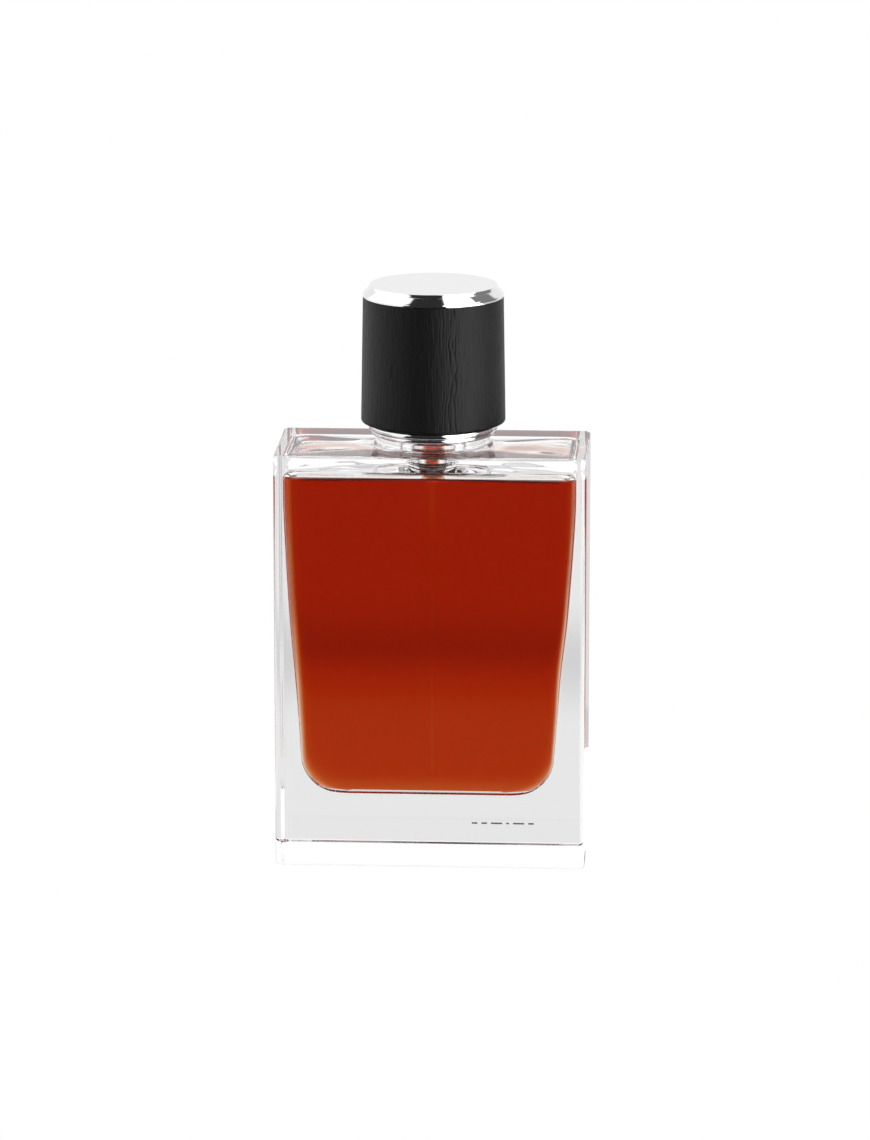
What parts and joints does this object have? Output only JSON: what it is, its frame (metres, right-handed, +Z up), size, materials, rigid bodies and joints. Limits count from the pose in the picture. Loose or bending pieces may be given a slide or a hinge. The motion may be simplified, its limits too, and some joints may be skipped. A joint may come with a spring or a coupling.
{
  "type": "aftershave bottle",
  "caption": "Rectangular clear glass pump-spray bottle of amber aftershave with a thick base, a chromed collar and a round black wood-grain pull-off cap.",
  "frame": {"origin": "middle of the glass base, on the surface that the bottle stands on", "axes": "+X to the bottle's right along its width, +Y to its back along its depth, +Z up through the neck"},
  "size_m": [0.062, 0.0288, 0.1162],
  "materials": {
    "clear_glass": "clear flint glass, fire polished",
    "amber_liquid": null,
    "natural_plastic": "natural translucent polypropylene, as moulded",
    "white_plastic": "white polypropylene or acetal, as moulded",
    "black_plastic": "black polypropylene, fine satin",
    "grey_rubber": "grey elastomer, matt",
    "spring_steel": "drawn stainless wire and polished ball",
    "satin_aluminium": "satin, bright crimp marks",
    "bright_chrome": "bright plated, smooth",
    "black_wood": "black stained, open grain, satin lacquer"
  },
  "bodies": {
    "flask": {"glass_bottle": "clear_glass", "liquid": "amber_liquid", "dip_tube": "natural_plastic", "pump_housing": "natural_plastic", "return_spring": "spring_steel", "seal_turret": "white_plastic", "stem_gasket": "grey_rubber", "neck_gasket": "grey_rubber", "crimp_ferrule": "satin_aluminium", "collar_insert": "white_plastic", "collar": "bright_chrome"},
    "inlet_valve": {"inlet_ball": "spring_steel"},
    "piston": {"pump_piston": "white_plastic"},
    "stem": {"pump_stem": "white_plastic"},
    "spray_head": {"spray_head_core": "white_plastic", "spray_head_shell": "bright_chrome", "nozzle_insert": "black_plastic"},
    "cap": {"cap_liner": "black_plastic", "cap_sleeve": "black_wood", "cap_top_plate": "bright_chrome"}
  },
  "joints": [
    {"name": "cap_lift", "type": "slide", "parent": "flask", "child": "cap", "axis": [0, 0, 1], "range_m": [0, 0.03]},
    {"name": "spray_press", "type": "slide", "parent": "flask", "child": "stem", "axis": [0, 0, -1], "range_m": [0, 0.0036], "stiffness_N_per_m": 1000, "springref_m": -0.003, "deforming": ["return_spring"]},
    {"name": "nozzle_turn", "type": "hinge", "parent": "stem", "child": "spray_head", "pos_m": [0, 0, 0.104], "axis": [0, 0, 1], "continuous": true},
    {"name": "piston_slide", "type": "slide", "parent": "flask", "child": "piston", "axis": [0, 0, -1], "range_m": [0, 0.00306]},
    {"name": "ball_lift", "type": "slide", "parent": "flask", "child": "inlet_valve", "axis": [0, 0, 1], "range_m": [0, 0.0005]}
  ],
  "couplings": [
    {"joint": "piston_slide", "follows": "spray_press", "ratio": 0.85}
  ]
}
